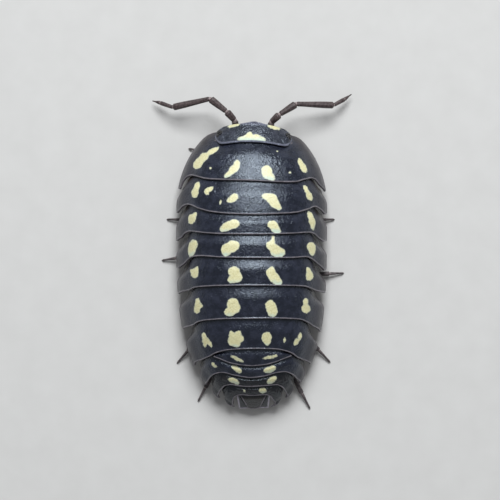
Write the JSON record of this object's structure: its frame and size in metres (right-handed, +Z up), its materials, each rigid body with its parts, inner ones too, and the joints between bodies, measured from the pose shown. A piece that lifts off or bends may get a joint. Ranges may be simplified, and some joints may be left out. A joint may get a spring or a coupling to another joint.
{
  "type": "spotted pill woodlouse",
  "caption": "Life-size still model of a dark pill woodlouse with rows of cream spots, arched overlapping plates, bent antennae and walking legs, standing on its feet.",
  "frame": {"origin": "on the floor, under the middle of the whole animal's box", "axes": "+Y the way the animal faces, +X to its right, +Z up from the floor"},
  "size_m": [0.0126, 0.02, 0.0047],
  "materials": {
    "plates": "satin slate-black shell with cream-yellow spots, fine grain and thin pale rims",
    "head": "satin dark shell, finely knobbly, with cream patches",
    "eyes": "gloss black, in small lenses",
    "antennae": "brown-grey with pale joints and fine bristles",
    "legs": "grey-brown, paler underneath, with fine bristles",
    "underside": "pale grey soft skin plates"
  },
  "bodies": {
    "root": {"head": "head", "eye_left": "eyes", "eye_right": "eyes", "antenna_left": "antennae", "antenna_right": "antennae", "pereonite_1": "plates", "pereonite_2": "plates", "pereonite_3": "plates", "pereonite_4": "plates", "pereonite_5": "plates", "pereonite_6": "plates", "pereonite_7": "plates", "pleonite_2": "plates", "pleonite_3": "plates", "pleonite_4": "plates", "pleonite_5": "plates", "telson": "plates", "uropod_left": "plates", "uropod_right": "plates", "leg_left_1": "legs", "leg_left_2": "legs", "leg_left_3": "legs", "leg_left_4": "legs", "leg_left_5": "legs", "leg_left_6": "legs", "leg_left_7": "legs", "leg_right_1": "legs", "leg_right_2": "legs", "leg_right_3": "legs", "leg_right_4": "legs", "leg_right_5": "legs", "leg_right_6": "legs", "leg_right_7": "legs", "thorax_underside": "underside", "abdomen_underside": "underside"}
  },
  "joints": []
}
